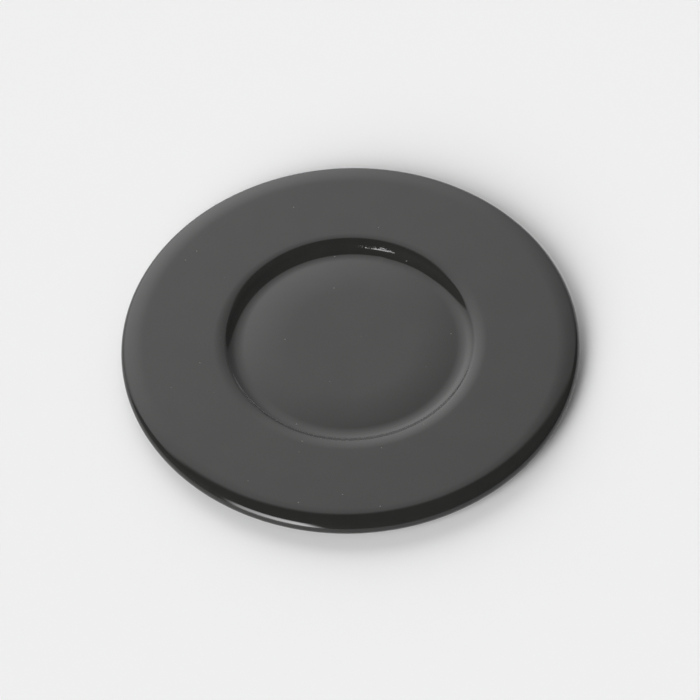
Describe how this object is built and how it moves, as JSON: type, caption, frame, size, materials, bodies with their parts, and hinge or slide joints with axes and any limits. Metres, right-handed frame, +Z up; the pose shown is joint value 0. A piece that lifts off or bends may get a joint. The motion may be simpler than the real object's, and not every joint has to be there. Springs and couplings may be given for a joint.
{
  "type": "gas burner cap",
  "caption": "Round black enamelled steel cap with a rounded rim and a shallow central recess, which lies on a gas burner's flame ring and spreads the flame.",
  "frame": {"origin": "centre of the flat face of the boss under the recess, which the cap stands on", "axes": "+Z up, along the cap's axis, out of the recessed top; X and Y are alike because the cap is round"},
  "size_m": [0.1, 0.1, 0.0052],
  "materials": {
    "black_enamel": "gloss"
  },
  "bodies": {
    "root": {"burner_cap": "black_enamel"}
  },
  "joints": []
}
